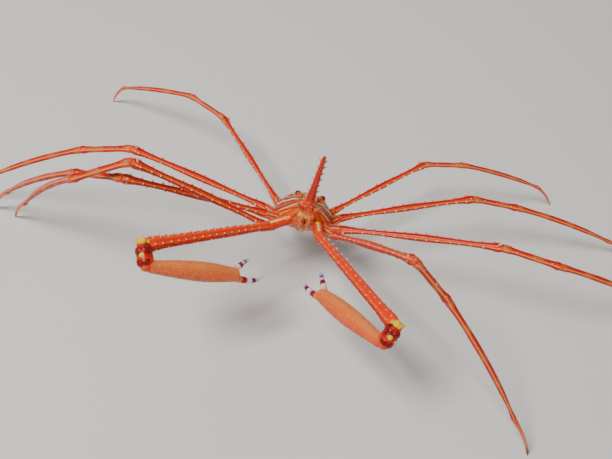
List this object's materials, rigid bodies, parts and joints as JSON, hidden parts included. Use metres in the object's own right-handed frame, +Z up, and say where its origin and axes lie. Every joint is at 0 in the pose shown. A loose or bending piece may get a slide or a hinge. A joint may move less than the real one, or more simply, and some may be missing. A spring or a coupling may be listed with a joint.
{
  "type": "arrow crab",
  "caption": "Still life-size arrow crab: long spined beak, pear-shaped body held upright between long thin stilt legs, slim claws folded in front, for display or a natural history scene.",
  "frame": {"origin": "Middle of the animal's box at floor level, under the body.", "axes": "+Z up. The crab faces -Y. Its left side is +X, and its leg span runs along X."},
  "size_m": [0.2034, 0.0906, 0.0597],
  "materials": {
    "shell": "satin shell, striped red, orange and cream",
    "underside": "satin shell",
    "rostrum": "satin shell with cream sides",
    "eye": "glossy",
    "antenna": "satin",
    "mouthpart": "satin",
    "leg": "satin shell with a cream edge and spinules",
    "foot": "satin",
    "claw_joint": "satin, yellow and maroon",
    "palm": "fine fuzz",
    "finger": "satin, banded violet"
  },
  "bodies": {
    "root": {"carapace": "shell", "sternum": "underside", "rostrum": "rostrum", "abdomen": "underside", "eye_left": "eye", "antenna_left": "antenna", "maxilliped_left": "mouthpart", "eye_right": "eye", "antenna_right": "antenna", "maxilliped_right": "mouthpart", "claw_left_base": "leg", "claw_left_merus": "leg", "claw_left_carpus": "claw_joint", "claw_left_palm": "palm", "claw_left_dactyl": "finger", "claw_right_base": "leg", "claw_right_merus": "leg", "claw_right_carpus": "claw_joint", "claw_right_palm": "palm", "claw_right_dactyl": "finger", "p2_left_base": "leg", "p2_left_merus": "leg", "p2_left_carpus": "leg", "p2_left_propodus": "leg", "p2_left_dactylus": "foot", "p2_right_base": "leg", "p2_right_merus": "leg", "p2_right_carpus": "leg", "p2_right_propodus": "leg", "p2_right_dactylus": "foot", "p3_left_base": "leg", "p3_left_merus": "leg", "p3_left_carpus": "leg", "p3_left_propodus": "leg", "p3_left_dactylus": "foot", "p3_right_base": "leg", "p3_right_merus": "leg", "p3_right_carpus": "leg", "p3_right_propodus": "leg", "p3_right_dactylus": "foot", "p4_left_base": "leg", "p4_left_merus": "leg", "p4_left_carpus": "leg", "p4_left_propodus": "leg", "p4_left_dactylus": "foot", "p4_right_base": "leg", "p4_right_merus": "leg", "p4_right_carpus": "leg", "p4_right_propodus": "leg", "p4_right_dactylus": "foot", "p5_left_base": "leg", "p5_left_merus": "leg", "p5_left_carpus": "leg", "p5_left_propodus": "leg", "p5_left_dactylus": "foot", "p5_right_base": "leg", "p5_right_merus": "leg", "p5_right_carpus": "leg", "p5_right_propodus": "leg", "p5_right_dactylus": "foot"}
  },
  "joints": []
}
